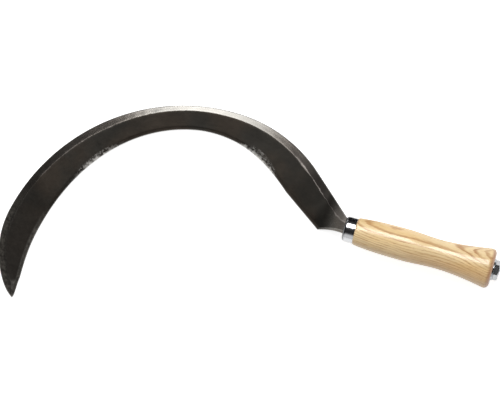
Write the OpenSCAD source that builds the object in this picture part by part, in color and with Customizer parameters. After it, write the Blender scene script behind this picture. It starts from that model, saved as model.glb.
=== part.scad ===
// Sickle lying flat: the grip's axis runs along X, the butt towards +X, Z is up,
// and the blade's back rib and the grip's butt both stand on Z = 0.

/* [Blade outline] */
// how far the straight start of the back leans from the grip's axis, degrees
back_lean = 41; // [35:1:47]
// length of the back's straight start beside the ferrule
back_straight = 52; // [44:1:60]
// radius of the back after the straight start
shoulder_r = 130; // [115:1:145]
// turn of that shoulder arc, degrees
shoulder_turn = 38; // [33:1:43]
// radius of the long middle arc of the back
bow_r = 181; // [165:1:200]
// turn of the middle arc, degrees
bow_turn = 80; // [71:1:87]
// radius of the arc between the middle arc and the point
tip_r = 84; // [74:1:96]
// turn of that arc, degrees
tip_turn = 49; // [42:1:54]
// radius of the short last arc, which ends in the point
point_r = 39; // [32:1:50]
// turn of the last arc, degrees
point_turn = 22; // [16:1:28]

/* [Blade widths] */
// width across the heel, where the cutting edge starts
heel_w = 28; // [25:0.5:32]
// width at the end of the straight start
shoulder_w = 34; // [31:0.5:38]
// least width, at the top of the bow
waist_w = 22.2; // [18:0.1:26]
// greatest width in the second half of the bow
belly_w = 32.7; // [28:0.1:37]
// place of the least width, percent of the back's length
waist_at = 38.8; // [36:0.1:44]
// place of the second greatest width, percent of the back's length
belly_at = 81.2; // [76:0.1:85]

/* [Blade section] */
// thickness of the web beside the rib
web_t = 2.2; // [1.8:0.1:2.8]
// thickness of the web where the ground bevel starts
web_edge_t = 1.6; // [1.2:0.1:1.8]
// thickness left at the cutting edge
cut_t = 0.4; // [0.3:0.1:0.8]
// width of the ground bevel along the cutting edge
bevel_w = 2.6; // [1.5:0.1:4]
// how far the rib reaches below the web
rib_depth = 2; // [1.5:0.1:2.6]
// width of the flat that the rib stands on
rib_land = 2; // [1.5:0.1:2.6]
// width of the sloping strip on the rib at the heel and the shoulder
strip_w = 7.3; // [6:0.1:8]
// least width of that strip, at the top of the bow
strip_bow_w = 4.7; // [4.2:0.1:6]
// width of that strip in the second half of the bow
strip_belly_w = 6.8; // [6:0.1:7.6]
// place where it has that width again, percent of the back's length
strip_belly_at = 60; // [54:1:70]
// slope of the strip, degrees
strip_slope = 17; // [12:1:24]
// slope of the strip at the point, degrees
strip_tip_slope = 7; // [4:1:10]

/* [Neck and tang] */
// height of the neck's upper side above the grip's axis, at the ferrule
neck_above = 9.4; // [8.6:0.1:10.4]
// depth of the neck's lower side below the grip's axis, at the ferrule
neck_below = 5.2; // [5.1:0.1:7]
// thickness of the neck at the ferrule
neck_t = 10.4; // [10.2:0.1:12]
// length over which the neck climbs from the web to the grip's axis
climb_len = 26; // [22:1:34]
// where the cutting edge starts, measured along the back from the ferrule
heel_at = 7.5; // [6:0.5:12]
// width of the sloping strip where the neck leaves the ferrule
neck_strip = 4.8; // [4:0.1:6]
// how far the neck's lower side bulges outwards between the ferrule and the heel
neck_bulge = 1.3; // [0:0.1:2.5]
// chamfer along the neck's upper corner
neck_chamfer = 2; // [1:0.1:3]
// diameter of the tang
tang_d = 9.8; // [9:0.1:10]
// pitch of the thread on the tang's end
thread_pitch = 1.5; // [1.25:0.25:1.5]
// depth of that thread
thread_depth = 0.8; // [0.6:0.05:0.9]

/* [Ferrule] */
// outer diameter of the drawn ferrule
ferrule_d = 23.4; // [22:0.1:25]
// length of the ferrule
ferrule_len = 10.6; // [9:0.1:15]
// wall of the ferrule
ferrule_wall = 1; // [0.8:0.1:1.5]
// outer radius of the ferrule's front edge
ferrule_round = 2.8; // [1.6:0.1:3.4]

/* [Grip] */
// length of wood that shows behind the ferrule
grip_len = 128; // [108:1:148]
// grip's diameter beside the ferrule
grip_start_d = 24.4; // [23.6:0.1:25.6]
// grip's diameter at the swell under the palm
grip_swell_d = 29.3; // [27.6:0.1:31]
// place of the swell behind the ferrule, percent of the grip
swell_at = 35; // [28:1:40]
// grip's least diameter, before the butt
grip_waist_d = 26.6; // [24.4:0.1:27.4]
// place of the least diameter, percent of the grip
grip_waist_at = 60; // [55:1:67]
// greatest diameter, at the butt
butt_d = 36.6; // [33:0.1:40]
// rounding of the butt's edge
butt_round = 3.5; // [2:0.1:5]
// bore for the tang through the grip and the ferrule
tang_bore = 10.6; // [10.4:0.1:11.4]

/* [Nut end] */
// diameter of the washer
washer_d = 19.4; // [18:0.1:24]
// thickness of the washer
washer_t = 1.5; // [1.2:0.1:2.5]
// width of the nut across its flats
nut_flats = 16; // [14.5:0.5:18]
// thickness of the nut
nut_t = 4.5; // [4:0.5:8]
// how far the tang's end stands out of the nut
tang_proud = 0.4; // [0.3:0.1:2]

/* [Fits] */
// radial gap between the nut's thread and the tang's thread
thread_gap = 0.1; // [0.05:0.01:0.15]
// radial gap between the grip's spigot and the ferrule
spigot_gap = 0.05; // [0.02:0.01:0.1]
// radial gap between the washer and the tang
washer_gap = 0.3; // [0.2:0.05:0.5]

/* [Hidden] */
$fn = 96;

function mix(a, b, t) = a + (b - a) * t;
function clamp01(t) = max(0, min(1, t));
function ease(t) = (1 - cos(180 * clamp01(t))) / 2;

// lengths along the back
shoulder_len = shoulder_r * shoulder_turn * PI / 180;
bow_len = bow_r * bow_turn * PI / 180;
tip_len = tip_r * tip_turn * PI / 180;
point_len = point_r * point_turn * PI / 180;
bow_start = back_straight + shoulder_len;
tip_start = bow_start + bow_len;
point_start = tip_start + tip_len;
back_len = point_start + point_len;
waist_s = back_len * waist_at / 100;
belly_s = back_len * belly_at / 100;
strip_belly_s = back_len * strip_belly_at / 100;

// the back: a straight start and four arcs that follow on from each other
heading = 180 - back_lean;
heading_bow = heading + shoulder_turn;
heading_tip = heading_bow + bow_turn;
heading_point = heading_tip + tip_turn;
function after_line(p, h, l) = p + l * [cos(h), sin(h)];
function after_arc(p, h, r, a) = p + r * [sin(h + a) - sin(h), cos(h) - cos(h + a)];
back_p0 = [0, neck_above];
back_p1 = after_line(back_p0, heading, back_straight);
back_p2 = after_arc(back_p1, heading, shoulder_r, shoulder_turn);
back_p3 = after_arc(back_p2, heading_bow, bow_r, bow_turn);
back_p4 = after_arc(back_p3, heading_tip, tip_r, tip_turn);
function turned(l, r) = l / r * 180 / PI;
function back_heading(s) =
    s < back_straight ? heading :
    s < bow_start ? heading + turned(s - back_straight, shoulder_r) :
    s < tip_start ? heading_bow + turned(s - bow_start, bow_r) :
    s < point_start ? heading_tip + turned(s - tip_start, tip_r) :
    heading_point + turned(s - point_start, point_r);
function back_at(s) =
    s < back_straight ? after_line(back_p0, heading, s) :
    s < bow_start ? after_arc(back_p1, heading, shoulder_r, turned(s - back_straight, shoulder_r)) :
    s < tip_start ? after_arc(back_p2, heading_bow, bow_r, turned(s - bow_start, bow_r)) :
    s < point_start ? after_arc(back_p3, heading_tip, tip_r, turned(s - tip_start, tip_r)) :
    after_arc(back_p4, heading_point, point_r, turned(s - point_start, point_r));
function inward(s) = [-sin(back_heading(s)), cos(back_heading(s))];

// width of the blade, measured square to the back
taper_power = 0.61;
function width_at(s) =
    s < back_straight ? mix(heel_w, shoulder_w, s / back_straight) :
    s < waist_s ? mix(shoulder_w, waist_w, ease((s - back_straight) / (waist_s - back_straight))) :
    s < belly_s ? mix(waist_w, belly_w, ease((s - waist_s) / (belly_s - waist_s))) :
    belly_w * pow(max(0, 1 - pow((s - belly_s) / (back_len - belly_s), 2)), taper_power);
function strip_at(s) =
    s < waist_s ? mix(strip_w, strip_bow_w, ease((s - back_straight) / (waist_s - back_straight))) :
    mix(strip_bow_w, strip_belly_w, ease((s - waist_s) / (strip_belly_s - waist_s)));
function near_point(s) = ease((s - belly_s) / (back_len - belly_s));
function slope_at(s) = mix(strip_slope, strip_tip_slope, near_point(s));
function rib_at(s) = rib_depth * (1 - near_point(s));

// heights: flat along the blade, climbing to the grip's axis over the neck
axis_z = butt_d / 2;
function climb(x) = ease((x + climb_len) / climb_len);
function web_bottom(x) = mix(rib_depth, axis_z - neck_t / 2, climb(x));
function web_top(x) = mix(rib_depth + web_t, axis_z + neck_t / 2, climb(x));
function edge_start_top(x) = mix(rib_depth + web_edge_t, axis_z + neck_t / 2, climb(x));
function edge_top(x) = mix(rib_depth + cut_t, axis_z + neck_t / 2 - neck_chamfer, climb(x));
function rib_bottom(x, rib) = mix(rib_depth - rib, axis_z - neck_t / 2, climb(x));

// where the blade is narrow, the land, the strip and the bevel keep these parts of its width
land_share = 0.6;
strip_share = 0.45;
bevel_share = 0.35;

// one cross-section, from the back point towards the cutting edge and back underneath
function section(back, dir, w, strip, slope, bevel, rib) =
    let (
        crease = back + dir * strip,
        shelf = back + dir * (w - bevel),
        edge = back + dir * w,
        land = back + dir * min(rib_land, strip * land_share),
        drop = strip * tan(slope)
    )
    [
        [back[0], back[1], web_top(back[0]) - drop],
        [crease[0], crease[1], web_top(crease[0])],
        [shelf[0], shelf[1], edge_start_top(shelf[0])],
        [edge[0], edge[1], edge_top(edge[0])],
        [edge[0], edge[1], web_bottom(edge[0])],
        [crease[0], crease[1], web_bottom(crease[0])],
        [land[0], land[1], rib_bottom(land[0], rib)],
        [back[0], back[1], rib_bottom(back[0], rib)]
    ];

// cross-sections of the neck, from the ferrule's face to the heel
neck_steps = 10;
heel_back = back_at(heel_at);
heel_front = heel_back + inward(heel_at) * width_at(heel_at);
neck_foot = [0, -neck_below];
function neck_back(t) = mix(back_p0, heel_back, t);
function neck_front(t) = mix(neck_foot, heel_front, t) + [0, 4 * t * (1 - t) * neck_bulge];
function neck_section(t) =
    let (
        back = neck_back(t),
        front = neck_front(t),
        w = norm(front - back)
    )
    section(back, (front - back) / w, w, mix(neck_strip, strip_w, t), strip_slope,
        mix(neck_chamfer, bevel_w, t), rib_depth);
neck_rows = [for (i = [0 : neck_steps - 1]) neck_section(i / neck_steps)];

// cross-sections of the blade, closer together towards the point
blade_steps = 64;
tip_stop = 0.997;
crowding = 1.15;
function station(i) = mix(heel_at, back_len * tip_stop, 1 - pow(1 - i / blade_steps, crowding));
function blade_section(s) =
    let (w = width_at(s))
    section(back_at(s), inward(s), w, min(strip_at(s), w * strip_share), slope_at(s),
        min(bevel_w, w * bevel_share), rib_at(s));
blade_rows = [for (i = [0 : blade_steps]) blade_section(station(i))];

blade_loft = concat(neck_rows, blade_rows);

// places along the grip's axis
grip_end = ferrule_len + grip_len;
washer_end = grip_end + washer_t;
nut_end = washer_end + nut_t;
tang_end = nut_end + tang_proud;

// the frame stands in the middle of the whole object's box
loft_x = [for (row = blade_loft) for (p = row) p[0]];
loft_y = [for (row = blade_loft) for (p = row) p[1]];
mid_x = (min(loft_x) + tang_end) / 2;
mid_y = (min(min(loft_y), -butt_d / 2) + max(max(loft_y), butt_d / 2)) / 2;

// turns a profile drawn as [place along the axis, radius] about the grip's axis
module turn_on_axis() {
    translate([-mid_x, -mid_y, axis_z])
        rotate([0, 90, 0])
            rotate_extrude()
                mirror([1, -1])
                    children();
}

module loft(rows) {
    n = len(rows[0]);
    m = len(rows);
    points = [for (row = rows) for (p = row) p];
    sides = [
        for (i = [0 : m - 2])
            for (j = [0 : n - 1])
                let (a = i * n + j, b = i * n + (j + 1) % n)
                    each [[a, b, b + n], [a, b + n, a + n]]
    ];
    first = [for (j = [1 : n - 2]) [0, j + 1, j]];
    last = [for (j = [1 : n - 2]) [(m - 1) * n, (m - 1) * n + j, (m - 1) * n + j + 1]];
    translate([-mid_x, -mid_y, 0])
        polyhedron(points, concat(sides, first, last), convexity = 6);
}

// thread ridges as [place, radius] points, from one place to another along the axis
function ridges(from, to, low, high) =
    let (count = floor((to - from) / thread_pitch))
    [
        for (i = [0 : count - 1])
            each [
                [from + i * thread_pitch, low],
                [from + (i + 0.5) * thread_pitch, high]
            ],
        [from + count * thread_pitch, low]
    ];

// the thread starts inside the grip's end, and both ends of the tang are chamfered
thread_start = grip_end - 1;
tang_r = tang_d / 2;
tang_root = 3;
tang_chamfer = 1;
point_chamfer = 0.3;
tang_ridges = ridges(thread_start, tang_end - point_chamfer, tang_r - thread_depth, tang_r);

module blade() {
    color("DimGray")
        union() {
            loft(blade_loft);
            turn_on_axis()
                polygon(concat(
                    [
                        [-tang_root, 0],
                        [-tang_root, tang_r - tang_chamfer],
                        [tang_chamfer - tang_root, tang_r],
                        [thread_start - tang_chamfer, tang_r]
                    ],
                    tang_ridges,
                    [[tang_end, tang_r - thread_depth - point_chamfer], [tang_end, 0]]
                ));
        }
}

module ferrule() {
    r = ferrule_d / 2;
    inner_round = max(0.4, ferrule_round - ferrule_wall);
    color("Silver")
        turn_on_axis()
            difference() {
                union() {
                    translate([ferrule_round, 0])
                        square([ferrule_len - ferrule_round, r]);
                    square([ferrule_len / 2, r - ferrule_round]);
                    translate([ferrule_round, r - ferrule_round])
                        circle(ferrule_round);
                }
                translate([ferrule_wall + inner_round, -1])
                    square([ferrule_len, r - ferrule_wall + 1]);
                translate([ferrule_wall, -1])
                    square([ferrule_len, r - ferrule_wall - inner_round + 1]);
                translate([ferrule_wall + inner_round, r - ferrule_wall - inner_round])
                    circle(inner_round);
                translate([-1, -1])
                    square([ferrule_wall + 2, tang_bore / 2 + 1]);
            }
}

// radius of the grip at a place behind the ferrule, given as a part of the grip's length
function grip_r(t) =
    let (a = swell_at / 100, b = grip_waist_at / 100)
    (t < a ? mix(grip_start_d, grip_swell_d, sin(90 * pow(t / a, 0.7))) :
    t < b ? mix(grip_swell_d, grip_waist_d, ease((t - a) / (b - a))) :
    mix(grip_waist_d, butt_d, 1 - cos(90 * (t - b) / (butt_full - b)))) / 2;
butt_full = 1 - butt_round / grip_len;
grip_steps = 40;

module grip() {
    spigot_r = ferrule_d / 2 - ferrule_wall - spigot_gap;
    spigot_chamfer = max(0.4, ferrule_round - ferrule_wall) + 0.3;
    bore_r = tang_bore / 2;
    color("BurlyWood")
        turn_on_axis()
            polygon(concat(
                [
                    [ferrule_wall, bore_r],
                    [ferrule_wall, spigot_r - spigot_chamfer],
                    [ferrule_wall + spigot_chamfer, spigot_r],
                    [ferrule_len, spigot_r]
                ],
                [
                    for (i = [0 : grip_steps])
                        let (t = butt_full * i / grip_steps)
                            [ferrule_len + grip_len * t, grip_r(t)]
                ],
                [
                    for (a = [80 : -10 : 0])
                        [
                            grip_end - butt_round + butt_round * cos(a),
                            butt_d / 2 - butt_round + butt_round * sin(a)
                        ]
                ],
                [[grip_end, bore_r]]
            ));
}

module washer() {
    edge = 0.4;
    color("Silver")
        turn_on_axis()
            polygon([
                [grip_end, tang_r + washer_gap],
                [grip_end, washer_d / 2],
                [washer_end - edge, washer_d / 2],
                [washer_end, washer_d / 2 - edge],
                [washer_end, tang_r + washer_gap]
            ]);
}

module nut() {
    corner_r = nut_flats / 2 / cos(30);
    crown = 1.2;
    first_ridge = thread_start + thread_pitch * ceil((washer_end - thread_start) / thread_pitch);
    low = tang_r - thread_depth + thread_gap;
    high = tang_r + thread_gap;
    color("Silver")
        difference() {
            intersection() {
                translate([washer_end - mid_x, -mid_y, axis_z])
                    rotate([0, 90, 0])
                        rotate([0, 0, 30])
                            cylinder(r = corner_r, h = nut_t, $fn = 6);
                turn_on_axis()
                    polygon([
                        [washer_end - 1, 0],
                        [washer_end - 1, corner_r + 1],
                        [nut_end - crown, corner_r + 1],
                        [nut_end - crown, corner_r],
                        [nut_end, nut_flats / 2 - 0.3],
                        [nut_end, 0]
                    ]);
            }
            turn_on_axis()
                polygon(concat(
                    [[washer_end - 1, 0], [washer_end - 1, high]],
                    ridges(first_ridge, nut_end + 1, low, high),
                    [[nut_end + 1, high], [nut_end + 1, 0]]
                ));
        }
}

blade();
ferrule();
grip();
washer();
nut();
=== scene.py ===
import math

import bmesh
import bpy
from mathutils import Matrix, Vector, noise


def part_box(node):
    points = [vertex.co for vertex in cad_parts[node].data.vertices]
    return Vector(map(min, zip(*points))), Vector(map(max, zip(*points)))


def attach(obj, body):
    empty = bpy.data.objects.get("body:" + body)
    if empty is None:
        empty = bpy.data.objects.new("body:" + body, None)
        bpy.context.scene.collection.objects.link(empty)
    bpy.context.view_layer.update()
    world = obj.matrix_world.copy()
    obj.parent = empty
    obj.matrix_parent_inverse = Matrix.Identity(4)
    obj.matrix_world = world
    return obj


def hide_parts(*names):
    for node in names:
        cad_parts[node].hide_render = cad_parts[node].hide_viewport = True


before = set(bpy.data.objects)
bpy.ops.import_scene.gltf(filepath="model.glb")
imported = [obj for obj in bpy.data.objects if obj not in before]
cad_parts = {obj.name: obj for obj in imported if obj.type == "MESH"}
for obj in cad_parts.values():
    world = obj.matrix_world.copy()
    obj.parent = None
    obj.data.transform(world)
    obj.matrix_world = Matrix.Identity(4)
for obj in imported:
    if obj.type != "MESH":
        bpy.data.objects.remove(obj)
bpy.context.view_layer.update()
mm = 0.001
perMetre = (1000, 1000, 1000)
mergeDistance = 0.000002  # metres

# sizes are millimetres unless a note says otherwise, with x along the grip's axis from the ferrule's front
ferruleLow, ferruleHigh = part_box("ferrule")
axisPoint = (ferruleLow + ferruleHigh) / 2
axisPoint.x = ferruleLow.x
print("frame loaded, the grip's axis starts at", [round(value, 5) for value in axisPoint])


def axisToFrame(point):  # x along the axis and y across it, z above the resting plane
    return Vector((axisPoint.x + point[0] * mm, axisPoint.y + point[1] * mm, point[2] * mm))


def mix(a, b, t):
    return a + (b - a) * t


def clamp(t):
    return max(0, min(1, t))


def ease(t):
    return (1 - math.cos(math.pi * clamp(t))) / 2


# camera

cameraSizes = {
    "target": (-90.5, 1.7, 10),  # along the axis, across it, and above the resting plane
    "distance": 2.4,  # metres
    "leanToButt": 6.3,  # degrees from straight above
    "leanToEdge": 2.0,
    "roll": 15.8,
    "lens": 189.7,
    "sensorWidth": 36,
    "clipEnd": 100,  # metres
}


def makeCamera(sizes):
    toButt, toEdge = (math.sin(math.radians(sizes[name])) for name in ("leanToButt", "leanToEdge"))
    back = Vector((toButt, -toEdge, math.sqrt(1 - toButt ** 2 - toEdge ** 2)))
    right = Vector((0, 1, 0)).cross(back).normalized()
    up = back.cross(right)
    turn = math.radians(sizes["roll"])
    columns = (
        right * math.cos(turn) + up * math.sin(turn),
        up * math.cos(turn) - right * math.sin(turn),
        back,
    )
    camera = bpy.data.objects.new("camera", bpy.data.cameras.new("camera"))
    bpy.context.scene.collection.objects.link(camera)
    matrix = camera.matrix_world.copy()
    for column, axis in enumerate(columns):
        for row in range(3):
            matrix[row][column] = axis[row]
    matrix.translation = axisToFrame(sizes["target"]) + back * sizes["distance"]
    camera.matrix_world = matrix
    camera.data.lens = sizes["lens"]
    camera.data.sensor_width = sizes["sensorWidth"]
    camera.data.clip_end = sizes["clipEnd"]
    bpy.context.scene.camera = camera


makeCamera(cameraSizes)
print("camera placed")


# node trees written as expressions

class Wire:
    def __init__(self, graph, socket):
        self.graph = graph
        self.socket = socket

    def math(self, operation, *values):
        return self.graph.node("ShaderNodeMath", {"operation": operation}, dict(enumerate(values)))

    def __add__(self, other):
        return self.math("ADD", self, other)

    def __radd__(self, other):
        return self.math("ADD", other, self)

    def __sub__(self, other):
        return self.math("SUBTRACT", self, other)

    def __rsub__(self, other):
        return self.math("SUBTRACT", other, self)

    def __mul__(self, other):
        return self.math("MULTIPLY", self, other)

    def __rmul__(self, other):
        return self.math("MULTIPLY", other, self)

    def __truediv__(self, other):
        return self.math("DIVIDE", self, other)

    def __pow__(self, other):
        return self.math("POWER", self, other)

    def __mod__(self, other):
        return self.math("FLOORED_MODULO", self, other)

    def __abs__(self):
        return self.math("ABSOLUTE", self)

    def floor(self):
        return self.math("FLOOR", self)

    def larger(self, other):
        return self.math("MAXIMUM", self, other)

    def smaller(self, other):
        return self.math("MINIMUM", self, other)

    def smooth(self, low, high):  # 0 below low and 1 above high, or the other way round
        if low > high:
            return 1 - self.smooth(high, low)
        return self.graph.node(
            "ShaderNodeMapRange", {"interpolation_type": "SMOOTHSTEP"},
            {"Value": self, "From Min": low, "From Max": high}, "Result",
        )

    def stretch(self, start, full, fade, end):  # 1 between full and fade, and 0 outside start and end
        return self.smooth(start, full) * self.smooth(end, fade)

    def dimming(self, start, end, amount):  # from 1 down by an amount
        return 1 - amount * self.smooth(start, end)


class Graph:
    def __init__(self, tree):
        self.tree = tree

    def node(self, kind, settings=None, sockets=None, output=0):
        made = self.tree.nodes.new(kind)
        for name, value in (settings or {}).items():
            setattr(made, name, value)
        for key, value in (sockets or {}).items():
            if isinstance(value, Wire):
                self.tree.links.new(value.socket, made.inputs[key])
            else:
                made.inputs[key].default_value = value
        return Wire(self, made.outputs[output]) if len(made.outputs) else made

    def objectPlace(self, centre=(0, 0, 0), scale=(1, 1, 1)):
        place = self.node("ShaderNodeTexCoord", None, None, "Object")
        return self.node(
            "ShaderNodeMapping", {"vector_type": "POINT"},
            {"Vector": place, "Location": [-c * s for c, s in zip(centre, scale)], "Scale": scale},
        )

    def split(self, place):
        return [self.node("ShaderNodeSeparateXYZ", None, {"Vector": place}, axis) for axis in "XYZ"]

    def vector(self, x, y, z):
        return self.node("ShaderNodeCombineXYZ", None, {0: x, 1: y, 2: z})

    def attribute(self, name):
        return self.node("ShaderNodeAttribute", {"attribute_name": name}, None, "Fac")

    def noise(self, place, scale, detail=3, roughness=0.5):
        return self.node(
            "ShaderNodeTexNoise", None,
            {"Vector": place, "Scale": scale, "Detail": detail, "Roughness": roughness},
        )

    def grain(self, axes, lengthwise, across, detail, roughness):  # noise drawn out along the first axis
        x, y, z = axes
        return self.noise(self.vector(x * lengthwise, y * across, z * across), 1, detail, roughness)

    def blend(self, factor, first, second):  # colours
        return self.node("ShaderNodeMix", {"data_type": "RGBA"}, {0: factor, 6: first, 7: second}, 2)

    def tint(self, colour, amount):  # a colour made lighter or darker by a number
        start = colour if isinstance(colour, Wire) else colour[:3]
        return self.node("ShaderNodeVectorMath", {"operation": "SCALE"}, {0: start, "Scale": amount})

    def bump(self, height, distance, strength):
        return self.node(
            "ShaderNodeBump", None, {"Height": height, "Distance": distance, "Strength": strength},
        )


def newMaterial(name):
    made = bpy.data.materials.new(name)
    made.use_nodes = True
    made.node_tree.nodes.clear()
    return made, Graph(made.node_tree)


def finishSurface(graph, sockets):
    shader = graph.node("ShaderNodeBsdfPrincipled", None, sockets, "BSDF")
    graph.node("ShaderNodeOutputMaterial", None, {"Surface": shader})


def linear(shown):  # from a colour as a picture shows it, 0 to 255
    channels = [c / 255 for c in shown]
    return [c / 12.92 if c <= 0.04045 else ((c + 0.055) / 1.055) ** 2.4 for c in channels] + [1]


# floor, world, softbox and card

studioSizes = {
    "floorHalf": 30,  # metres
    "floorDrop": 0.0002,  # metres under the resting plane
    "floorColour": 0.9,
    "floorLift": 0.74,  # what the camera sees on top of the lit floor
    "floorMirrored": 0.25,  # and what metal mirrors
    "fill": 0.46,
    "horizon": 0.86,
    "horizonEnds": (0.2, 0.04),  # where the sky is bright: near the horizon
    "frontEnds": (-0.62, -0.9),  # and all the way up in front
    "ceiling": 0.02,
    "softboxPower": 44,
    "softboxSize": (1.35, 1.3),  # metres
    "softboxDistance": 2.5,  # metres
    "softboxPolar": 31.5,  # degrees from straight above
    "softboxAzimuth": 106,  # degrees round from the grip's axis
    "cardWidth": 90,
    "cardMiddle": -18,
    "cardProfile": ((34, 0.5), (120, 0.5), (120, 80)),  # across the axis, and above the resting plane
    "cardColour": (30, 30, 32),
    "cardWeave": 900,
}


def seenRays(graph):
    kinds = ("Is Camera Ray", "Is Glossy Ray", "Is Transmission Ray")
    return [graph.node("ShaderNodeLightPath", None, None, kind) for kind in kinds]


def makeFloor(sizes):
    half, drop, grey = sizes["floorHalf"], sizes["floorDrop"], sizes["floorColour"]
    mesh = bpy.data.meshes.new("floor")
    corners = [(x * half, y * half, -drop) for x, y in ((-1, -1), (1, -1), (1, 1), (-1, 1))]
    mesh.from_pydata(corners, [], [(0, 1, 2, 3)])
    floor = bpy.data.objects.new("floor", mesh)
    bpy.context.scene.collection.objects.link(floor)
    made, graph = newMaterial("paleFloor")
    camera, glossy, transmission = seenRays(graph)
    matte = graph.node("ShaderNodeBsdfDiffuse", None, {"Color": (grey, grey, grey, 1)})
    strength = camera * sizes["floorLift"] + (glossy + transmission) * sizes["floorMirrored"]
    lift = graph.node("ShaderNodeEmission", None, {"Strength": strength})
    both = graph.node("ShaderNodeAddShader", None, {0: matte, 1: lift})
    graph.node("ShaderNodeOutputMaterial", None, {"Surface": both})
    mesh.materials.append(made)


def makeWorld(sizes):
    world = bpy.data.worlds.new("studio")
    world.use_nodes = True
    world.node_tree.nodes.clear()
    graph = Graph(world.node_tree)
    camera, glossy, transmission = seenRays(graph)
    y, height = graph.split(graph.node("ShaderNodeTexCoord", None, None, "Generated"))[1:]
    bright = height.smooth(*sizes["horizonEnds"]).larger(y.smooth(*sizes["frontEnds"]))
    mirrored = sizes["ceiling"] + bright * (sizes["horizon"] - sizes["ceiling"])
    unseen = 1 - camera - glossy - transmission
    strength = camera + (glossy + transmission) * mirrored + unseen * sizes["fill"]
    sky = graph.node("ShaderNodeBackground", None, {"Strength": strength})
    graph.node("ShaderNodeOutputWorld", None, {"Surface": sky})
    bpy.context.scene.world = world


def makeSoftbox(sizes):
    polar = math.radians(sizes["softboxPolar"])
    azimuth = math.radians(sizes["softboxAzimuth"])
    level = math.sin(polar)
    towards = Vector((level * math.cos(azimuth), level * math.sin(azimuth), math.cos(polar)))
    lamp = bpy.data.lights.new("softbox", "AREA")
    lamp.shape = "RECTANGLE"
    lamp.size, lamp.size_y = sizes["softboxSize"]
    lamp.energy = sizes["softboxPower"]
    softbox = bpy.data.objects.new("softbox", lamp)
    bpy.context.scene.collection.objects.link(softbox)
    softbox.location = axisToFrame(cameraSizes["target"]) + towards * sizes["softboxDistance"]
    softbox.rotation_euler = towards.to_track_quat("Z", "Y").to_euler()


def makeCard(sizes):  # a bent dark card beyond the ferrule, which only the metal mirrors
    half = sizes["cardWidth"] / 2
    sides = (sizes["cardMiddle"] - half, sizes["cardMiddle"] + half)
    corners = [axisToFrame((x, y, z)) for y, z in sizes["cardProfile"] for x in sides]
    mesh = bpy.data.meshes.new("darkCard")
    mesh.from_pydata(corners, [], [(0, 1, 3, 2), (2, 3, 5, 4)])
    card = bpy.data.objects.new("darkCard", mesh)
    bpy.context.scene.collection.objects.link(card)
    card.visible_camera = False
    card.visible_diffuse = False
    card.visible_shadow = False
    made, graph = newMaterial("cardCloth")
    weave = graph.noise(graph.objectPlace(), sizes["cardWeave"], 2)
    colour = graph.tint(linear(sizes["cardColour"]), 0.7 + 0.6 * weave)
    cloth = graph.node("ShaderNodeBsdfDiffuse", None, {"Color": colour})
    graph.node("ShaderNodeOutputMaterial", None, {"Surface": cloth})
    mesh.materials.append(made)


makeFloor(studioSizes)
makeWorld(studioSizes)
makeSoftbox(studioSizes)
makeCard(studioSizes)
bpy.context.scene.view_settings.view_transform = "Standard"
print("floor, world, softbox and card placed")


# blade: forged, with a rib along the back that is folded down to the resting plane

buttRadius = 18.3  # of the grip, which rests on it, so also the axis's height above the resting plane
bladeSizes = {
    "backLean": 41,  # degrees
    "backStraight": 52,  # from the ferrule to the shoulder's arc
    "arcs": ((130, 38), (181, 80), (84, 49), (39, 22)),  # radius and turn: shoulder, bow, tip, point
    "heelWidth": 28,
    "shoulderWidth": 34,
    "waistWidth": 22.2,
    "bellyWidth": 32.7,
    "waistAt": 0.388,  # shares of the back's length
    "bellyAt": 0.812,
    "taperPower": 0.61,
    "webThick": 2.2,
    "webEdgeThick": 1.6,
    "cutThick": 0.4,
    "bevelWidth": 2.6,
    "bevelShare": 0.35,  # of the width, where the point is narrow
    "ribDepth": 2,
    "ribLand": 2,
    "ribLandShare": 0.6,  # of the strip
    "stripWidth": 7.3,
    "stripBowWidth": 4.7,
    "stripBellyWidth": 6.8,
    "stripBellyAt": 0.6,
    "stripShare": 0.45,
    "stripSlope": 17,  # degrees
    "stripTipSlope": 7,
    "neckAbove": 9.4,
    "neckBelow": 5.2,
    "neckThick": 10.4,
    "neckBulge": 1.3,
    "neckStrip": 4.8,
    "neckChamfer": 2,
    "climbLength": 26,
    "heelAt": 7.5,
    "pointAt": 0.9996,
    "neckRows": 26,
    "bladeRows": 400,
    "rowCrowding": 1.3,  # rows stand closer towards the point
    "cornerRounds": (0.5, 0.9, 0.7, 0.1, 0.1, 0.9, 0.5, 0.5),  # one for each corner of a section
    "sidePoints": (3, 10, 2, 1, 8, 1, 1, 1),  # points along each side, after its corner
    "roundSteps": 3,
    "roundShare": 0.4,  # of the shorter side beside a corner
    "exactNeck": (4, 24),  # the neck keeps its face at the ferrule, and grows uneven past it
    "unevenness": 0.084,
    "unevenScales": (0.06, 0.16),  # a large form and a finer one
    "unevenFrom": (0.8, 0.2),  # from the back, and above the rib's depth
    "nicks": 0.3,
    "nickScales": (0.3, 0.7),
    "nickReach": 2,  # from the edge
    "nicksElsewhere": 0.15,  # a share, outside the worn stretches
    "worn": ((64, 150), (238, 342)),
}
bladeLayers = ("along", "fromEdge", "fromBack", "fromCrease")  # what the steel's finish reads from the mesh


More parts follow.
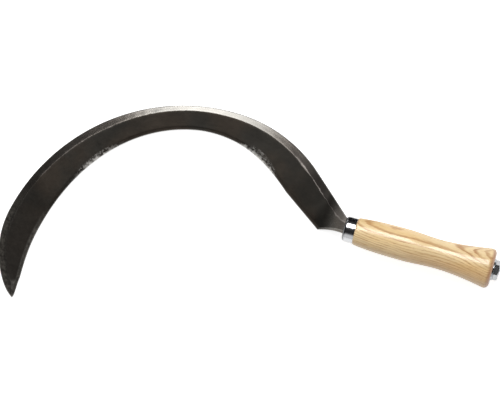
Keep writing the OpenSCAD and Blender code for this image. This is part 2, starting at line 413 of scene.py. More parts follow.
class BladeForm:  # s is a place along the back, from the ferrule
    def __init__(self, sizes):
        self.sizes = sizes
        self.heading = math.radians(180 - sizes["backLean"])
        self.arcLengths = [radius * math.radians(turn) for radius, turn in sizes["arcs"]]
        self.length = sizes["backStraight"] + sum(self.arcLengths)
        self.waist = self.length * sizes["waistAt"]
        self.belly = self.length * sizes["bellyAt"]
        self.stripBelly = self.length * sizes["stripBellyAt"]

    def backAt(self, s):
        x, y, heading = 0, self.sizes["neckAbove"], self.heading
        step = min(s, self.sizes["backStraight"])
        x += step * math.cos(heading)
        y += step * math.sin(heading)
        s -= step
        for (radius, turn), length in zip(self.sizes["arcs"], self.arcLengths):
            step = min(s, length)
            after = heading + step / radius
            x += radius * (math.sin(after) - math.sin(heading))
            y += radius * (math.cos(heading) - math.cos(after))
            heading = after
            s -= step
        return Vector((x, y)), Vector((-math.sin(heading), math.cos(heading)))

    def widthAt(self, s):
        sizes = self.sizes
        straight = sizes["backStraight"]
        if s < straight:
            return mix(sizes["heelWidth"], sizes["shoulderWidth"], s / straight)
        if s < self.waist:
            narrowing = ease((s - straight) / (self.waist - straight))
            return mix(sizes["shoulderWidth"], sizes["waistWidth"], narrowing)
        if s < self.belly:
            widening = ease((s - self.waist) / (self.belly - self.waist))
            return mix(sizes["waistWidth"], sizes["bellyWidth"], widening)
        t = (s - self.belly) / (self.length - self.belly)
        return sizes["bellyWidth"] * max(0, 1 - t * t) ** sizes["taperPower"]

    def tipEase(self, s):
        return ease((s - self.belly) / (self.length - self.belly))

    def stripAt(self, s):
        sizes = self.sizes
        straight = sizes["backStraight"]
        if s < self.waist:
            narrowing = ease((s - straight) / (self.waist - straight))
            return mix(sizes["stripWidth"], sizes["stripBowWidth"], narrowing)
        widening = ease((s - self.waist) / (self.stripBelly - self.waist))
        return mix(sizes["stripBowWidth"], sizes["stripBellyWidth"], widening)

    def corners(self, back, inward, width, strip, slope, bevel, rib):
        sizes = self.sizes
        land = min(sizes["ribLand"], strip * sizes["ribLandShare"])
        places = [0, strip, width - bevel, width, width, strip, land, 0]
        low, high = buttRadius - sizes["neckThick"] / 2, buttRadius + sizes["neckThick"] / 2
        web = sizes["ribDepth"]
        top = web + sizes["webThick"]
        drop = strip * math.tan(math.radians(slope))
        bladeHeights = [
            top - drop, top, web + sizes["webEdgeThick"], web + sizes["cutThick"],
            web, web, web - rib, web - rib,
        ]
        neckHeights = [high - drop, high, high, high - sizes["neckChamfer"], low, low, low, low]
        points = []
        for place, start, end in zip(places, bladeHeights, neckHeights):
            point = back + inward * place
            climb = ease((point.x + sizes["climbLength"]) / sizes["climbLength"])
            points.append(Vector((point.x, point.y, mix(start, end, climb))))
        return points

    def neckSections(self):
        sizes = self.sizes
        heelBack, heelInward = self.backAt(sizes["heelAt"])
        heelFront = heelBack + heelInward * self.widthAt(sizes["heelAt"])
        for i in range(sizes["neckRows"]):
            t = i / sizes["neckRows"]
            back = Vector((0, sizes["neckAbove"])).lerp(heelBack, t)
            front = Vector((0, -sizes["neckBelow"])).lerp(heelFront, t)
            front.y += 4 * t * (1 - t) * sizes["neckBulge"]  # the bulge is full halfway
            width = (front - back).length
            inward = (front - back) / width
            strip = mix(sizes["neckStrip"], sizes["stripWidth"], t)
            bevel = mix(sizes["neckChamfer"], sizes["bevelWidth"], t)
            points = self.corners(back, inward, width, strip, sizes["stripSlope"], bevel, sizes["ribDepth"])
            yield sizes["heelAt"] * t, width, strip, back, inward, points

    def bladeSections(self):
        sizes = self.sizes
        for i in range(sizes["bladeRows"] + 1):
            t = 1 - (1 - i / sizes["bladeRows"]) ** sizes["rowCrowding"]
            s = mix(sizes["heelAt"], self.length * sizes["pointAt"], t)
            back, inward = self.backAt(s)
            width = self.widthAt(s)
            strip = min(self.stripAt(s), width * sizes["stripShare"])
            slope = mix(sizes["stripSlope"], sizes["stripTipSlope"], self.tipEase(s))
            bevel = min(sizes["bevelWidth"], width * sizes["bevelShare"])
            rib = sizes["ribDepth"] * (1 - self.tipEase(s))
            yield s, width, strip, back, inward, self.corners(back, inward, width, strip, slope, bevel, rib)


def roundedSection(sizes, points):  # a section's corners, each with a round, and points along its sides
    made = []
    count = len(points)
    ends = []
    for i, corner in enumerate(points):
        before, after = points[i - 1], points[(i + 1) % count]
        shorter = min((before - corner).length, (after - corner).length)
        reach = min(sizes["cornerRounds"][i], shorter * sizes["roundShare"])
        start = corner + (before - corner).normalized() * reach
        end = corner + (after - corner).normalized() * reach
        ends.append((start, end))
    for i, corner in enumerate(points):
        start, end = ends[i]
        for k in range(sizes["roundSteps"] + 1):
            t = k / sizes["roundSteps"]
            made.append(start.lerp(corner, t).lerp(corner.lerp(end, t), t))
        following = ends[(i + 1) % count][0]
        sidePoints = sizes["sidePoints"][i]
        for k in range(1, sidePoints + 1):
            made.append(end.lerp(following, k / (sidePoints + 1)))
    return made


def faceDip(sizes, point):
    slow, quick = sizes["unevenScales"]
    wave = noise.noise(Vector((point.x, point.y, 0)) * slow)
    wave += 0.5 * noise.noise(Vector((point.x, point.y, 9)) * quick)
    return sizes["unevenness"] * (1 + wave)


def nickDepth(sizes, s):
    coarse, fine = sizes["nickScales"]
    nick = max(0, noise.noise(Vector((s * coarse, 3, 0))) + 0.5 * noise.noise(Vector((s * fine, 7, 0))))
    inside = sum(math.sin(math.pi * (s - a) / (b - a)) for a, b in sizes["worn"] if a < s < b)
    return sizes["nicks"] * nick * mix(sizes["nicksElsewhere"], 1, inside)


def makeBlade(sizes):
    form = BladeForm(sizes)
    sections = [*form.neckSections(), *form.bladeSections()]
    exactEnd, freeStart = sizes["exactNeck"]
    dipBack, dipHeight = sizes["unevenFrom"]
    vertices, faces, data = [], [], []
    for s, width, strip, back, inward, corners in sections:
        free = clamp((s - exactEnd) / (freeStart - exactEnd))
        depth = nickDepth(sizes, s) * free
        for point in roundedSection(sizes, corners):
            fromBack = (point.xy - back).dot(inward)
            data.append((s, width - fromBack, fromBack, fromBack - strip))
            if point.z > sizes["ribDepth"] + dipHeight and fromBack > dipBack:
                point.z -= faceDip(sizes, point) * free
            shift = depth * max(0, 1 - (width - fromBack) / sizes["nickReach"])
            vertices.append((point.x - inward.x * shift, point.y - inward.y * shift, point.z))
    ring = len(vertices) // len(sections)
    for i in range(len(sections) - 1):
        for j in range(ring):
            a, b = i * ring + j, i * ring + (j + 1) % ring
            faces.append((a, b, b + ring, a + ring))
    faces.append(tuple(reversed(range(ring))))
    faces.append(tuple(range(len(vertices) - ring, len(vertices))))
    mesh = bpy.data.meshes.new("bladeForging")
    mesh.from_pydata([axisToFrame(v) for v in vertices], [], faces)
    for k, name in enumerate(bladeLayers):
        layer = mesh.attributes.new(name, "FLOAT", "POINT")
        layer.data.foreach_set("value", [values[k] for values in data])
    return mesh


def cleanMesh(mesh, sharpAngle):
    shape = bmesh.new()
    shape.from_mesh(mesh)
    bmesh.ops.remove_doubles(shape, verts=shape.verts, dist=mergeDistance)
    bmesh.ops.recalc_face_normals(shape, faces=shape.faces)
    shape.to_mesh(mesh)
    shape.free()
    mesh.shade_smooth()
    mesh.set_sharp_from_angle(angle=math.radians(sharpAngle))


def addPiece(name, mesh, node, material, sharpAngle=35):
    cleanMesh(mesh, sharpAngle)
    mesh.materials.clear()
    mesh.materials.append(material)
    piece = bpy.data.objects.new(name, mesh)
    bpy.context.scene.collection.objects.link(piece)
    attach(piece, "root")
    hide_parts(node)
    print(name, "made,", len(mesh.polygons), "faces")


# the blade's finish: forge scale, a strip rubbed smooth, bare metal where it was ground and hit, and painted
# highlights and painted shade

steelLook = {  # places are millimetres along the back from the ferrule, two for a start and an end
    "neckWearAndSheenReach": (-22, -5),  # along the grip's axis: beside the ferrule the neck is scratched, and lighter, a painted highlight
    "heel": (78, 46),
    "tip": (360, 400),
    "point": (461, 466),
    "dull": (345, 372, 0.34),  # start, end, and how much darker
    "polish": (34, 100),
    "bevel": (2.9, 2.2),  # from the edge
    # painted shade: the strip darkened near the heel, past the bow and over the climb, to trim its reflection
    "stripPaintedShade": (190, 60, 0.7),
    "stripPaintedShadeFar": (228, 275, 0.3),
    "stripPaintedShadeClimb": (8, 20, 44, 60),  # start, full, fading and end
    "stripWarmNear": (130, 84),
    "stripWarmFar": (215, 260),
    "line": (0.3, 0.65),  # half its width, where it is thin and where it is wide
    "lineNear": (112, 64),
    "lineFainter": (70, 86, 0.62),
    "lineSpread": (52, 64, 68, 80),
    "lineFar": (250, 268, 345, 362),
    "edgeReach": 0.8,  # of bare metal from the edge
    "wornNear": (56, 106, 148, 3.9),  # start, widest place, end and further reach
    "wornFar": (238, 294, 352, 2.3),
    "brokenFrom": (200, 240),
    "chipsNear": (220, 200),
    "flecksNear": (128, 106),
    "flecksFar": (205, 220),
    "neckEnd": (8.5, 7),
    "neckLine": 2,  # from the edge
    "cloud": (24, 3, 0.5),  # noises: scale, detail and roughness
    "patch": (75, 3, 0.55),
    "mottle": (260, 4, 0.6),
    "grit": (1700, 3, 0.6),
    "chip": (300, 4, 0.65),
    "flake": (900, 2, 0.6),
    "lineWander": (150, 4, 0.65),
    "lineTear": (70, 4, 0.6),
    "streak": (0.02, 0.9, 4, 0.6),  # along and across, then detail and roughness
    "scratch": (0.12, 0.9, 3, 0.6),
    "webShade": (0.12, {"mottle": 0.2, "grit": 0.1, "streak": 0.12, "patch": 0.3, "cloud": 0.16}),
    "stripShade": (0.5, {"mottle": 0.44, "streak": 0.24, "patch": 0.36}),
    "scaleCool": (74, 71, 66),  # colours
    "scaleWarm": (83, 75, 67),
    "scaleTip": (74, 69, 64),
    "stripGrey": (114, 112, 108),
    "stripWarm": (114, 108, 102),
    "scratchGrey": (122, 119, 114),
    "borderGrey": (72, 69, 64),
    "lineGrey": (150, 143, 138),
    "bareMetalAndSheen": (206, 203, 198),
    "bump": (0.00012, 0.55),  # metres, and strength
}


class SteelPlace:  # what the finish knows at any place on the blade
    def __init__(self, graph, look):
        self.place = graph.objectPlace()
        self.axes = graph.split(graph.objectPlace(axisPoint, perMetre))
        self.along, self.fromEdge, self.fromBack, self.fromCrease = [
            graph.attribute(name) for name in bladeLayers
        ]
        self.cloud, self.patch, self.mottle, self.grit, self.chip, self.flake = [
            graph.noise(self.place, *look[name])
            for name in ("cloud", "patch", "mottle", "grit", "chip", "flake")
        ]
        self.streak = graph.grain((self.along, self.fromBack, 0), *look["streak"])
        self.neckWearAndSheen = self.axes[0].smooth(*look["neckWearAndSheenReach"])
        self.heel = self.along.smooth(*look["heel"])
        self.tip = self.along.smooth(*look["tip"])
        self.bevel = self.fromEdge.smooth(*look["bevel"])
        self.strip = (self.fromCrease + (self.mottle - 0.5) * 0.9).smooth(0.35, -0.35)

    def shade(self, plain, shares):  # a plain number, and a share of each noise
        return sum((share * getattr(self, name) for name, share in shares.items()), plain)


def webColour(graph, look, at):  # forge scale, duller towards the point
    colour = graph.blend(at.cloud.smooth(0.4, 0.6), linear(look["scaleCool"]), linear(look["scaleWarm"]))
    colour = graph.tint(colour, at.shade(*look["webShade"]))
    colour = graph.blend(at.tip * 0.7, colour, graph.tint(linear(look["scaleTip"]), 0.5 + 0.5 * at.mottle))
    # lighter beside the ferrule, a painted highlight; a little darker near the heel, partly the scale's own
    # tone and partly painted shade over the climb's glint
    return graph.tint(colour, at.along.dimming(*look["dull"]) * (1 - 0.1 * at.heel) * (1 + 2.0 * at.neckWearAndSheen))


def stripColour(graph, look, at):  # the strip along the back is rubbed smooth, except beside the neck; painted shade darkens stretches of it to trim its reflection, and a painted highlight lightens it beside the ferrule
    shade = at.shade(*look["stripShade"]) * (1 + 1.7 * at.neckWearAndSheen)
    shade = shade * at.along.dimming(*look["stripPaintedShade"]) * at.along.dimming(*look["stripPaintedShadeFar"])
    shade = shade * (1 - 0.3 * at.along.stretch(*look["stripPaintedShadeClimb"]))
    warm = at.along.smooth(*look["stripWarmNear"]) + at.along.smooth(*look["stripWarmFar"])
    return graph.tint(graph.blend(warm, linear(look["stripGrey"]), linear(look["stripWarm"])), shade)


def tipBorder(look, at):  # both borders grow wider and meet at the point
    back = (at.fromCrease + (at.mottle - 0.5) * 3).smooth(1.6, -2.6)
    front = (at.fromEdge + (at.chip - 0.5) * 2.5).smooth(4.6, 2.8)
    return (back.larger(front) + at.along.smooth(*look["point"])).smaller(1) * at.tip


def creaseLine(graph, look, at):  # a light line on the crease, wandering and broken: partly wear, partly a painted highlight
    thin, wide = look["line"]
    near = at.along.smooth(*look["lineNear"]) * at.along.dimming(*look["lineFainter"])
    far = at.along.stretch(*look["lineFar"])
    wander = (graph.noise(at.place, *look["lineWander"]) - 0.5) * 2.4
    tear = graph.noise(at.place, *look["lineTear"]).smooth(0.4, 0.6)
    half = thin + (wide - thin) * tear + 0.6 * at.neckWearAndSheen + at.along.stretch(*look["lineSpread"]) + 0.5 * far
    line = (1 - abs(at.fromCrease + 0.2 + wander) / half).smooth(0, 1) * (near + far * 0.45)
    return line * (0.35 + 0.6 * tear)


def wornEdge(graph, look, at):  # a soft band, and chips and flecks beyond it
    reach = look["edgeReach"]
    for start, widest, end, further in (look["wornNear"], look["wornFar"]):
        reach = reach + at.along.stretch(start, widest, widest, end) * further
    depth = 1 - at.fromEdge / reach
    broken = 1.7 + 1.6 * at.along.smooth(*look["brokenFrom"])
    band = (depth + ((at.patch - 0.5) + (at.mottle - 0.5)) * broken).smooth(0.3, 0.95)
    band = band * (0.5 + 0.5 * at.chip.smooth(0.35, 0.6))
    beyond = 1 - at.fromEdge / (reach * 1.7)
    chips = (beyond * 0.5 + (at.chip - 0.5) * 2.4 + (at.flake - 0.5) * 1.4).smooth(0.42, 0.62)
    chips = chips * at.along.smooth(*look["chipsNear"]) * 0.7
    fleck = graph.noise(graph.vector(at.along * 0.3, at.fromEdge * 1.1, 5), 1, 3, 0.6)
    flecks = (1 - abs(fleck - 0.5) / 0.05).smooth(0, 0.8) * at.chip.smooth(0.4, 0.52)
    flecks = flecks * (at.along.smooth(*look["flecksNear"]) * 0.55 + at.along.smooth(*look["flecksFar"]))
    chips = chips.larger(flecks) * beyond.smooth(0.02, 0.3)
    return reach.smooth(1.0, 3.0) * band.larger(chips * 0.75), depth


def neckEdges(look, at):  # the neck's chamfer has two bright borders, partly worn bare and partly a painted highlight
    lines = at.fromEdge.smooth(0.7, 0.2)
    lines = lines + abs(at.fromEdge - look["neckLine"]).smooth(0.7, 0.25) * at.mottle.smooth(0.3, 0.5)
    return at.along.smooth(*look["neckEnd"]) * lines.smaller(1) * 0.5


def forgedSteel(look):
    made, graph = newMaterial("forgedSteel")
    at = SteelPlace(graph, look)
    web, strip = webColour(graph, look, at), stripColour(graph, look, at)
    colour = graph.blend(at.strip * (1 - 0.6 * at.tip), web, strip)
    scratch = graph.grain(at.axes, *look["scratch"]).smooth(0.46, 0.66)
    colour = graph.blend(scratch * at.neckWearAndSheen * 0.45, colour, linear(look["scratchGrey"]))
    colour = graph.tint(colour, 1 + at.bevel * (1.1 + 1.3 * at.tip))
    border = tipBorder(look, at)
    borderShade = 0.1 + 0.5 * at.mottle + 1.5 * at.chip.smooth(0.3, 0.7)
    colour = graph.blend(border * 0.8, colour, graph.tint(linear(look["borderGrey"]), borderShade))
    colour = graph.blend(creaseLine(graph, look, at), colour, linear(look["lineGrey"]))

    worn, depth = wornEdge(graph, look, at)
    # a light line along the back edge: a painted highlight, laid on as bare metal
    backEdgeHighlight = at.fromBack.smooth(1.1, 0.2) * (0.45 + 0.3 * at.tip)
    fine = at.fromEdge.smooth(1.0, 0.3) * 0.34
    # bare metal where the edge is worn and ground, together with painted highlights on the back edge and the
    # neck's chamfer
    bareAndSheen = worn.larger(neckEdges(look, at)).larger(backEdgeHighlight.larger(fine))
    bareAndSheenShade = 0.6 + 0.4 * at.chip + 0.5 * depth.smooth(0.3, 1)
    colour = graph.blend(bareAndSheen, colour, graph.tint(linear(look["bareMetalAndSheen"]), bareAndSheenShade))

    polish = at.strip * at.along.smooth(*look["polish"])
    height = (at.grit * 0.35 + at.mottle + at.streak * 0.4) * (1 - 0.7 * polish) + at.strip * at.patch * 1.2
    finishSurface(graph, {
        "Base Color": colour,
        "Metallic": 0.9 - (0.5 * border).larger(0.6 * bareAndSheen).larger(0.35 * at.neckWearAndSheen),
        "Roughness": 0.4 + 0.1 * at.mottle - 0.2 * polish + 0.08 * bareAndSheen + 0.16 * at.heel,
        "Normal": graph.bump(height, *look["bump"]),
    })
    return made


# the grip's finish: ash with its growth rings, under a clear varnish

woodLook = {
    "pith": (52, 46),  # across and down from the axis
    "ringWidth": 1.85,
    "evenRings": (42, 39),  # counted from the pith: even from the first on, and uneven up to the second
    "earlyWood": (0.0, 0.16, 0.22, 0.62),  # start, full, fading and end in a ring
    "upperSide": (2, 7),  # across the axis
    "upperEnd": (128, 119),
    "upperStrong": (96, 112),
    "gapSide": (5, 1),
    "lowerShadeSide": (1, -9),
    "lowerShadeFrom": (30, 78),
    "butt": (134.2, 137.4),
    "slow": (0.012, 0.05, 2, 0.5),  # noises: along the grip and across it, then detail and roughness
    "ripple": (0.04, 0.3, 3, 0.55),
    "gap": (0.045, 0.55, 3, 0.6),
    "fibre": (0.055, 1.5, 4, 0.65),
    "dash": (0.15, 1.5, 2, 0.6),
    "pore": (0.22, 4.5, 2, 0.5),
    "wide": (0.015, 0.12, 2, 0.5),
    "glaze": (0.1, 0.35, 3, 0.55),
    "woodLight": (246, 219, 168),  # colours
    "woodYellow": (238, 205, 148),
    "ringBrown": (190, 138, 84),
    "lowerShadeBrown": (206, 150, 88),
    "dashBrown": (188, 134, 86),
    "poreBrown": (160, 115, 72),
    "buttBrown": (186, 128, 92),
    "coatRoughness": 0.1,
    "bump": (0.0001, 0.6),  # metres, and strength
}


def growthRings(graph, look, axes):  # where early wood is, and which ring
    x, y, z = axes
    across, down = look["pith"]
    distance = ((y + across) ** 2 + (z + down) ** 2) ** 0.5
    slow, ripple = [graph.grain(axes, *look[name]) for name in ("slow", "ripple")]
    even = (distance + x * 0.02 + (slow - 0.5) * 6 + (ripple - 0.5) * 1.3) / look["ringWidth"]
    uneven = (graph.noise(graph.vector(even * 0.45, 0, 0), 1, 1) - 0.5) * 1.6
    ringPlace = even + uneven * even.smooth(*look["evenRings"])
    strength = graph.noise(graph.vector(x * 0.02, ringPlace.floor() * 3.7, 3), 1, 2, 0.6).smooth(0.36, 0.62)
    upper = y.smooth(*look["upperSide"]) * x.smooth(*look["upperEnd"])
    strength = strength.larger(upper * (0.7 + 0.5 * x.smooth(*look["upperStrong"])))
    early = (ringPlace % 1.0).stretch(*look["earlyWood"]) * (0.5 + 0.5 * strength)
    gap = graph.grain(axes, *look["gap"]).smooth(0.58, 0.42)
    return early * (1 - 0.5 * gap * y.smooth(*look["gapSide"])), ringPlace, upper


def ashWood(look):
    made, graph = newMaterial("ashWood")
    axes = graph.split(graph.objectPlace(axisPoint, perMetre))  # millimetres from the axis's start
    x, y, z = axes
    early, ringPlace, upper = growthRings(graph, look, axes)
    fibre, dash, pore, wide, glaze = [
        graph.grain(axes, *look[name]) for name in ("fibre", "dash", "pore", "wide", "glaze")
    ]
    broad = graph.noise(graph.vector(x * 0.012, ringPlace * 0.22, 8), 1, 2, 0.5).smooth(0.34, 0.66)
    dash = dash.smooth(0.54, 0.66)
    pore = pore.smooth(0.56, 0.68)
    glaze = glaze.smooth(0.36, 0.6)
    # browner and darker along the lower side: painted shade
    warm = y.smooth(*look["lowerShadeSide"]) * x.smooth(*look["lowerShadeFrom"])
    colour = graph.blend(wide.smooth(0.35, 0.65), linear(look["woodLight"]), linear(look["woodYellow"]))
    colour = graph.blend(early * (0.55 + 0.5 * fibre + 0.1 * upper), colour, linear(look["ringBrown"]))
    colour = graph.tint(colour, 0.76 + 0.33 * fibre + 0.14 * broad)
    for weight, name in (
        (warm * 0.3, "lowerShadeBrown"),
        (dash * (0.3 + 0.6 * early), "dashBrown"),
        (pore * (0.1 + 0.5 * early), "poreBrown"),
        (x.smooth(*look["butt"]) * 0.75, "buttBrown"),
    ):
        colour = graph.blend(weight, colour, linear(look[name]))
    finishSurface(graph, {
        "Base Color": colour,
        "Roughness": 0.42 + 0.12 * fibre,
        "Coat Weight": (0.7 + 0.3 * glaze) * (1 - 0.35 * dash),
        "Coat Roughness": look["coatRoughness"],
        "Normal": graph.bump(fibre * 0.5 - pore * 0.5 - early * 0.3 - dash * 0.4, *look["bump"]),
    })
    return made


# the finishes of the cup and of the fastener

metalLooks = {
    "ferruleChrome": {
        "colour": (222, 223, 225),
        "cloudy": 0.12,
        "roughness": 0.17,
        "turningDepth": 0.000004,  # metres
        "frontShade": (0.3, 3),  # painted shade: darker at the front rim, where it meets the forging
    },
    "zincSteel": {
        "colour": (196, 198, 200),
        "cloudy": 0.2,
        "roughness": 0.2,
        "turningDepth": 0.00002,
        "frontShade": None,
    },
}
metalNoises = {"cloud": (0.12, 3, 0.5), "speck": (1.3, 4, 0.6), "turning": (6, 0, 3, 0.6)}


def brightMetal(name, look):
    made, graph = newMaterial(name)
    place = graph.objectPlace(axisPoint, perMetre)
    x = graph.split(place)[0]
    cloud = graph.noise(place, *metalNoises["cloud"])
    speck = graph.noise(place, *metalNoises["speck"])
    turning = graph.grain((x, 0, 0), *metalNoises["turning"])
    shade = 1 - look["cloudy"] * (cloud - 0.5) - look["cloudy"] * 0.6 * speck.smooth(0.55, 0.8)
    # painted shade: the chrome darkened at its front rim
    if look["frontShade"]:
        shade = shade * (0.2 + 0.8 * x.smooth(*look["frontShade"]))
    finishSurface(graph, {
        "Base Color": graph.tint(linear(look["colour"]), shade),
        "Metallic": 1.0,
        "Roughness": look["roughness"] * (0.7 + 0.6 * speck),
        "Normal": graph.bump(turning * 0.6 + speck * 0.4, look["turningDepth"], 0.5),
    })
    return made


steelFinish = forgedSteel(steelLook)
woodFinish = ashWood(woodLook)
chromeFinish, zincFinish = [brightMetal(name, look) for name, look in metalLooks.items()]
print("materials made")

addPiece("bladeForging", makeBlade(bladeSizes), "blade", steelFinish, 50)


# geometry trees, which take named inputs and give one piece

def startTree(name, inputs):
    tree = bpy.data.node_groups.new(name, "GeometryNodeTree")
    sockets = {
        label: tree.interface.new_socket(name=label, in_out="INPUT", socket_type=kind).identifier
        for label, kind in inputs.items()
    }
    tree.interface.new_socket(name="Piece", in_out="OUTPUT", socket_type="NodeSocketGeometry")
    graph = Graph(tree)
    entry = graph.node("NodeGroupInput").socket.node
    return graph, sockets, [Wire(graph, entry.outputs[label]) for label in inputs]


def endTree(graph, shape, finish):
    realized = graph.node("GeometryNodeRealizeInstances", None, {"Geometry": shape})
    finished = graph.node("GeometryNodeSetMaterial", None, {"Geometry": realized, "Material": finish})
    graph.node("NodeGroupOutput", None, {0: finished})


def runTree(mesh, graph, sockets, values):
    helper = bpy.data.objects.new("helper", mesh)
    bpy.context.scene.collection.objects.link(helper)
    modifier = helper.modifiers.new("shape", "NODES")
    modifier.node_group = graph.tree
    for name, value in values.items():
        modifier[sockets[name]] = value
    evaluated = helper.evaluated_get(bpy.context.evaluated_depsgraph_get())
    made = bpy.data.meshes.new_from_object(evaluated)
    helper.modifiers.remove(modifier)
    bpy.data.objects.remove(helper)
    return made


# turned pieces: a profile swept round the grip's axis

def turningTree():
    graph, sockets, (profile, segments, axisStart, finish) = startTree("turnedPiece", {
        "Profile": "NodeSocketGeometry", "Segments": "NodeSocketInt",
        "Axis Start": "NodeSocketVector", "Finish": "NodeSocketMaterial",
    })
    rows = graph.node(
        "GeometryNodeAttributeDomainSize", {"component": "MESH"}, {"Geometry": profile}, "Point Count",
    )
    columns = segments + 1
    grid = graph.node("GeometryNodeMeshGrid", None, {"Vertices X": rows, "Vertices Y": columns}, "Mesh")
    index = graph.node("GeometryNodeInputIndex")
    angle = (index % columns) / segments * (2 * math.pi)
    position = graph.node("GeometryNodeInputPosition")
    drawn = graph.node(
        "GeometryNodeSampleIndex", {"data_type": "FLOAT_VECTOR", "domain": "POINT"},
        {"Geometry": profile, "Value": position, "Index": (index / columns).floor()},
    )
    place, radius = graph.split(drawn)[:2]
    turned = graph.vector(place, radius * angle.math("COSINE", angle), radius * angle.math("SINE", angle))
    moved = graph.node("ShaderNodeVectorMath", {"operation": "ADD"}, {0: turned, 1: axisStart})
    shaped = graph.node("GeometryNodeSetPosition", None, {"Geometry": grid, "Position": moved})
    merged = graph.node("GeometryNodeMergeByDistance", None, {"Geometry": shaped, "Distance": mergeDistance})
    endTree(graph, merged, finish)
    return graph, sockets


turnedPieceTree = turningTree()


def turnedMesh(profile, segments, finish):
    mesh = bpy.data.meshes.new("profile")
    mesh.from_pydata([(x * mm, r * mm, 0) for x, r in profile], [], [])
    return runTree(mesh, *turnedPieceTree, {"Segments": segments, "Axis Start": axisPoint, "Finish": finish})


def arcPoints(x, r, radius, start, end, steps):  # degrees, 0 along the axis and 90 straight out
    angles = [math.radians(mix(start, end, i / steps)) for i in range(steps + 1)]
    return [(x + radius * math.cos(a), r + radius * math.sin(a)) for a in angles]


ferruleSizes = {
    "radius": 11.7,
    "length": 10.6,
    "wall": 1,
    "round": 2.8,
    "lip": 0.35,
    "hole": 5.3,
    "faceRing": 7,  # a ring of points in the flat front
    "sideRings": (0.4, 0.6, 0.8),  # and on the side, as shares of the length
    "roundSteps": 10,
    "innerSteps": 5,
    "lipSteps": 4,
    "segments": 128,
}


def ferruleProfile(sizes):
    outer, length, wall, bend, lip = [sizes[name] for name in ("radius", "length", "wall", "round", "lip")]
    inner = outer - wall
    innerBend = bend - wall
    points = [(0, sizes["hole"]), (0, sizes["faceRing"])]
    points += arcPoints(bend, outer - bend, bend, 180, 90, sizes["roundSteps"])
    points += [(length * t, outer) for t in sizes["sideRings"]]
    points += arcPoints(length - lip, outer - lip, lip, 90, 0, sizes["lipSteps"])
    points += [(length, inner), (length / 2, inner)]
    points += arcPoints(wall + innerBend, inner - innerBend, innerBend, 90, 180, sizes["innerSteps"])
    points += [(wall, sizes["hole"]), (0, sizes["hole"])]
    return points


addPiece(
    "ferruleCup", turnedMesh(ferruleProfile(ferruleSizes), ferruleSizes["segments"], chromeFinish),
    "ferrule", chromeFinish,
)

gripSizes = {
    "start": ferruleSizes["length"],
    "length": 128,
    "startRadius": 12.2,
    "swellRadius": 14.65,
    "swellAt": 0.35,  # shares of the length
    "swellPower": 0.7,
    "waistRadius": 13.3,
    "waistAt": 0.6,
    "buttRadius": buttRadius,
    "buttRound": 4.6,
    "buttArc": (82, 0, 8),  # start and end in degrees, and steps
    "edgeRound": 0.8,
    "edgeLap": 0.56,  # from the middle of the front edge's round to the start radius
    "edgeArc": (180, 110, 4),
    "spigotRadius": 10.65,
    "spigotChamfer": 2.1,
    "spigotStart": ferruleSizes["wall"],
    "bore": 5.3,
    "endRings": (13, 9),  # rings of points in the butt's face
    "segments": 128,
    "rows": 90,
}


def gripRadius(sizes, t, full):
    swellAt, waistAt = sizes["swellAt"], sizes["waistAt"]
    if t < swellAt:
        rise = math.sin(math.pi / 2 * (t / swellAt) ** sizes["swellPower"])
        return mix(sizes["startRadius"], sizes["swellRadius"], rise)
    if t < waistAt:
        return mix(sizes["swellRadius"], sizes["waistRadius"], ease((t - swellAt) / (waistAt - swellAt)))
    flare = 1 - math.cos(math.pi / 2 * (t - waistAt) / (full - waistAt))
    return mix(sizes["waistRadius"], sizes["buttRadius"], flare)


def gripProfile(sizes):
    start, length, bore = sizes["start"], sizes["length"], sizes["bore"]
    end = start + length
    small, bend = sizes["edgeRound"], sizes["buttRound"]
    full = 1 - bend / length  # the butt has its full radius here
    spigotStart, spigotRadius, chamfer = [
        sizes[name] for name in ("spigotStart", "spigotRadius", "spigotChamfer")
    ]
    points = [
        (spigotStart, bore), (spigotStart, spigotRadius - chamfer),
        (spigotStart + chamfer, spigotRadius), (start, spigotRadius),
    ]
    points += arcPoints(start + small, sizes["startRadius"] - sizes["edgeLap"], small, *sizes["edgeArc"])
    for i in range(1, sizes["rows"] + 1):
        t = full * i / sizes["rows"]
        if t * length > small:
            points.append((start + length * t, gripRadius(sizes, t, full)))
    points += arcPoints(end - bend, sizes["buttRadius"] - bend, bend, *sizes["buttArc"])
    points += [(end, ring) for ring in sizes["endRings"]]
    points += [(end, bore), (spigotStart, bore)]
    return points


addPiece(
    "turnedGrip", turnedMesh(gripProfile(gripSizes), gripSizes["segments"], woodFinish),
    "grip", woodFinish,
)


# washer, nut and the tang's end

endSizes = {
    "start": gripSizes["start"] + gripSizes["length"],
    "washerRadius": 9.7,
    "washerThick": 1.5,
    "washerHole": 5.2,
    "washerEdge": 0.4,
    "washerSteps": 4,
    "nutThick": 4.5,
    "nutFlats": 16,
    "nutSeat": (0.3, 0.2),  # the seat's chamfer along the axis, and its face inside the flats
    "nutMiddle": 0.35,  # a ring of points on the side, as a share of the thickness
    "nutChamfer": 1.2,
    "nutChamferPower": 1.15,
    "nutChamferSteps": 8,
    "nutFace": 0.3,  # the outer face inside the flats
    "nutHole": 5.0,
    "nutHoleChamfer": 0.5,
    "tangRadius": 4.9,
    "tangStart": -3,
    "tangChamfer": 1,
    "tangEnd": 145,
    "tangEndChamfer": 0.3,
    "tangSegments": 64,
    "threadInside": 1,  # the grip's end
    "threadStop": 0.6,  # short of the tang's end
    "threadDepth": 0.8,
    "threadPitch": 1.5,
    "ridgeMiddle": 0.4,  # shares of the thread's depth
    "ridgeRadius": 0.6,
    "ridgeSteps": 48,
    "segments": 96,
}


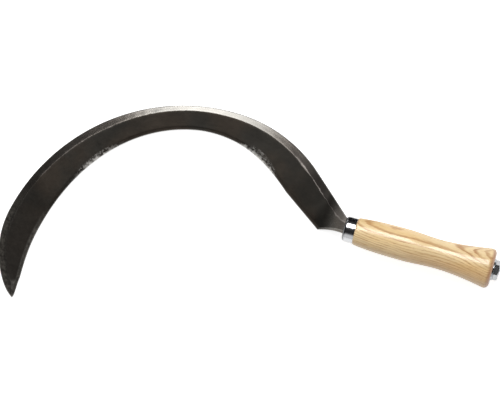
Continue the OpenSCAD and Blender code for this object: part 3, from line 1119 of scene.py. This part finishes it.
def washerProfile(sizes):
    start, end = sizes["start"], sizes["start"] + sizes["washerThick"]
    radius, edge = sizes["washerRadius"], sizes["washerEdge"]
    points = [(start, sizes["washerHole"]), (start, radius)]
    points += arcPoints(end - edge, radius - edge, edge, 90, 0, sizes["washerSteps"])
    points += [(end, sizes["washerHole"]), (start, sizes["washerHole"])]
    return points


def nutRows(sizes, flat, corner):  # places along the axis, and how far out the nut may reach there
    start = sizes["start"] + sizes["washerThick"]
    end = start + sizes["nutThick"]
    crown, steps, hole = sizes["nutChamfer"], sizes["nutChamferSteps"], sizes["nutHole"]
    seat, seatInside = sizes["nutSeat"]
    rows = [(start, flat - seatInside), (start + seat, corner)]
    rows += [(start + sizes["nutThick"] * sizes["nutMiddle"], corner), (end - crown - seat, corner)]
    for i in range(steps + 1):
        t = i / steps
        limit = mix(corner, flat - sizes["nutFace"], t ** sizes["nutChamferPower"])
        rows.append((end - crown + crown * t, limit))
    rows += [(end, hole + sizes["nutHoleChamfer"]), (end - sizes["nutHoleChamfer"], hole), (start, hole)]
    return rows


def nutMesh(sizes):
    flat = sizes["nutFlats"] / 2
    rows = nutRows(sizes, flat, flat / math.cos(math.pi / 6))
    vertices, faces = [], []
    columns = sizes["segments"]
    for x, limit in rows:
        for j in range(columns):
            angle = 2 * math.pi * j / columns
            fromFlat = (angle + math.pi / 6) % (math.pi / 3) - math.pi / 6  # a flat faces up
            radius = min(limit, flat / math.cos(fromFlat))
            vertices.append(axisToFrame((x, radius * math.sin(angle), buttRadius + radius * math.cos(angle))))
    for i in range(len(rows)):
        ring, nextRing = i * columns, (i + 1) % len(rows) * columns
        for j in range(columns):
            after = (j + 1) % columns
            faces.append((ring + j, ring + after, nextRing + after, nextRing + j))
    mesh = bpy.data.meshes.new("hexNut")
    mesh.from_pydata(vertices, [], faces)
    return mesh


def tangProfile(sizes):
    start, end, radius = sizes["tangStart"], sizes["tangEnd"], sizes["tangRadius"]
    chamfer, endChamfer = sizes["tangChamfer"], sizes["tangEndChamfer"]
    root = radius - sizes["threadDepth"]
    threadStart = sizes["start"] - sizes["threadInside"]
    return [
        (start, 0), (start, radius - chamfer), (start + chamfer, radius),
        (threadStart - chamfer, radius), (threadStart, root),
        (end - endChamfer, root), (end, root - endChamfer), (end, 0),
    ]


def threadMesh(sizes, finish):  # a ridge wound round the tang's end
    graph, sockets, (start, root, depth, pitch, turns, steel) = startTree("threadRidge", {
        "Start": "NodeSocketVector", "Root Radius": "NodeSocketFloat", "Depth": "NodeSocketFloat",
        "Pitch": "NodeSocketFloat", "Turns": "NodeSocketFloat", "Finish": "NodeSocketMaterial",
    })
    middle = root + depth * sizes["ridgeMiddle"]
    path = graph.node("GeometryNodeCurveSpiral", None, {
        "Resolution": sizes["ridgeSteps"], "Rotations": turns,
        "Start Radius": middle, "End Radius": middle, "Height": pitch * turns,
    })
    ridge = graph.node(
        "GeometryNodeCurvePrimitiveCircle", None,
        {"Resolution": 4, "Radius": depth * sizes["ridgeRadius"]}, "Curve",
    )
    swept = graph.node(
        "GeometryNodeCurveToMesh", None, {"Curve": path, "Profile Curve": ridge, "Fill Caps": True},
    )
    laid = graph.node(
        "GeometryNodeTransform", None,
        {"Geometry": swept, "Translation": start, "Rotation": (0, math.radians(90), 0)},
    )
    endTree(graph, laid, steel)
    threadStart = sizes["start"] - sizes["threadInside"]
    return runTree(bpy.data.meshes.new("empty"), graph, sockets, {
        "Start": axisPoint + Vector((threadStart * mm, 0, 0)),
        "Root Radius": (sizes["tangRadius"] - sizes["threadDepth"]) * mm,
        "Depth": sizes["threadDepth"] * mm,
        "Pitch": sizes["threadPitch"] * mm,
        "Turns": (sizes["tangEnd"] - sizes["threadStop"] - threadStart) / sizes["threadPitch"],
        "Finish": finish,
    })


addPiece(
    "washerRing", turnedMesh(washerProfile(endSizes), endSizes["segments"], zincFinish),
    "washer", zincFinish,
)
addPiece("hexNut", nutMesh(endSizes), "nut", zincFinish, 25)
addPiece(
    "tangRod", turnedMesh(tangProfile(endSizes), endSizes["tangSegments"], zincFinish),
    "blade", zincFinish,
)
addPiece("tangThread", threadMesh(endSizes, zincFinish), "blade", zincFinish)
